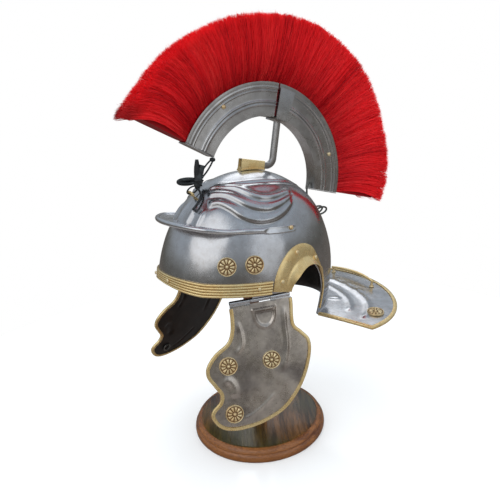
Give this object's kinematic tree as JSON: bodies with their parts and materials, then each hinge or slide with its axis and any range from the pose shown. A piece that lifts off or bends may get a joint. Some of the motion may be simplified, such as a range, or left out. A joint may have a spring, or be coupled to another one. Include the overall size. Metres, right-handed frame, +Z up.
{
  "type": "roman legionary helmet on a wooden stand",
  "caption": "Steel helmet with brow guard, neck guard, hinged cheek pieces and a red hair crest on a bent rod, set on a post and a round wooden base.",
  "frame": {"origin": "centre of the base's flat underside", "axes": "+Z up from the base to the crest, -Y the way the helmet faces, +X its wearer's left"},
  "size_m": [0.2584, 0.3498, 0.5127],
  "materials": {
    "steel": "polished steel sheet, a little clouded",
    "brass": "polished brass, cast or rolled",
    "wood": "stained and varnished",
    "hair": "dyed hair, matt with a soft sheen",
    "leather": "black, waxed"
  },
  "bodies": {
    "helmet": {"bowl": "steel", "brow_guard": "steel", "crest_box": "steel", "crest_end_front": "steel", "crest_end_rear": "steel", "crest_clamp": "steel", "crest_rod": "steel", "rear_loop_left": "steel", "rear_loop_right": "steel", "rear_hook": "steel", "hinge_left": "steel", "hinge_right": "steel", "brow_band": "brass", "ear_guard_left": "brass", "ear_guard_right": "brass", "neck_guard_edging": "brass", "carry_handle": "brass", "handle_stud_left": "brass", "handle_stud_right": "brass", "crest_holder": "brass", "front_loop": "brass", "bowl_rosette_left_1": "brass", "bowl_rosette_left_2": "brass", "bowl_rosette_right_1": "brass", "bowl_rosette_right_2": "brass", "guard_rosette_left": "brass", "guard_rosette_right": "brass", "band_rivet_left_1": "brass", "band_rivet_left_2": "brass", "band_rivet_right_1": "brass", "band_rivet_right_2": "brass", "ear_rivet_left_1": "brass", "ear_rivet_left_2": "brass", "ear_rivet_left_3": "brass", "ear_rivet_right_1": "brass", "ear_rivet_right_2": "brass", "ear_rivet_right_3": "brass", "brow_rivet_left": "brass", "brow_rivet_right": "brass", "crest_rivet_left_1": "brass", "crest_rivet_left_2": "brass", "crest_rivet_right_1": "brass", "crest_rivet_right_2": "brass", "base": "wood", "post": "wood", "plume": "hair", "thong": "leather"},
    "left_cheek": {"cheek_plate_left": "steel", "cheek_edging_left": "brass", "tie_ring_left": "steel", "cheek_rosette_left_1": "brass", "cheek_rosette_left_2": "brass", "cheek_rosette_left_3": "brass"},
    "right_cheek": {"cheek_plate_right": "steel", "cheek_edging_right": "brass", "tie_ring_right": "steel", "cheek_rosette_right_1": "brass", "cheek_rosette_right_2": "brass", "cheek_rosette_right_3": "brass"}
  },
  "joints": [
    {"name": "left_cheek_hinge", "type": "hinge", "parent": "helmet", "child": "left_cheek", "pos_m": [0.07575, -0.03028, 0.21672], "axis": [-0.2513, -0.9678, -0.0171], "range_deg": [-34, 66]},
    {"name": "right_cheek_hinge", "type": "hinge", "parent": "helmet", "child": "right_cheek", "pos_m": [-0.07575, -0.03028, 0.21672], "axis": [-0.2513, 0.9678, 0.0171], "range_deg": [-42, 58]}
  ]
}
